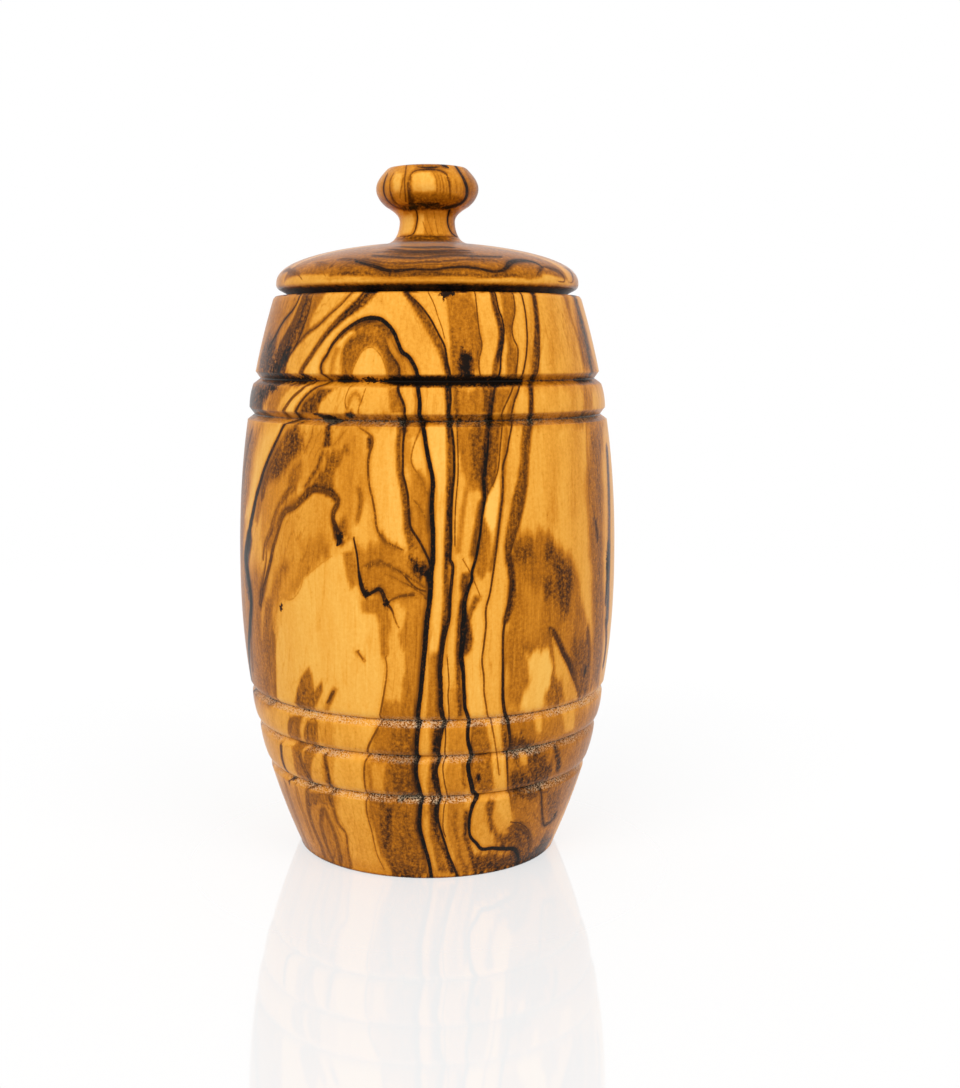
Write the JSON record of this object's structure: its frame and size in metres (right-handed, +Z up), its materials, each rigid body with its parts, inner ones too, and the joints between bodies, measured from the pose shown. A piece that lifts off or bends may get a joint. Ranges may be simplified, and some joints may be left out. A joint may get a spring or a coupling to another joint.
{
  "type": "lidded honey pot",
  "caption": "Turned wooden honey pot: grooved barrel body bored from the rim, with a loose domed lid that drops into the mouth and a glued-in knob.",
  "frame": {"origin": "centre of the flat face that the pot stands on", "axes": "+Z up along the turning axis, from the resting face to the knob; the pot is round, so X and Y are free"},
  "size_m": [0.0832, 0.0832, 0.1499],
  "materials": {
    "pot_wood": "satin",
    "lid_wood": "satin",
    "knob_wood": "satin"
  },
  "bodies": {
    "pot": {"pot_body": "pot_wood"},
    "lid": {"lid": "lid_wood", "lid_knob": "knob_wood"}
  },
  "joints": [
    {"name": "lid_lift", "type": "slide", "parent": "pot", "child": "lid", "axis": [0, 0, 1], "range_m": [0, 0.06]}
  ]
}
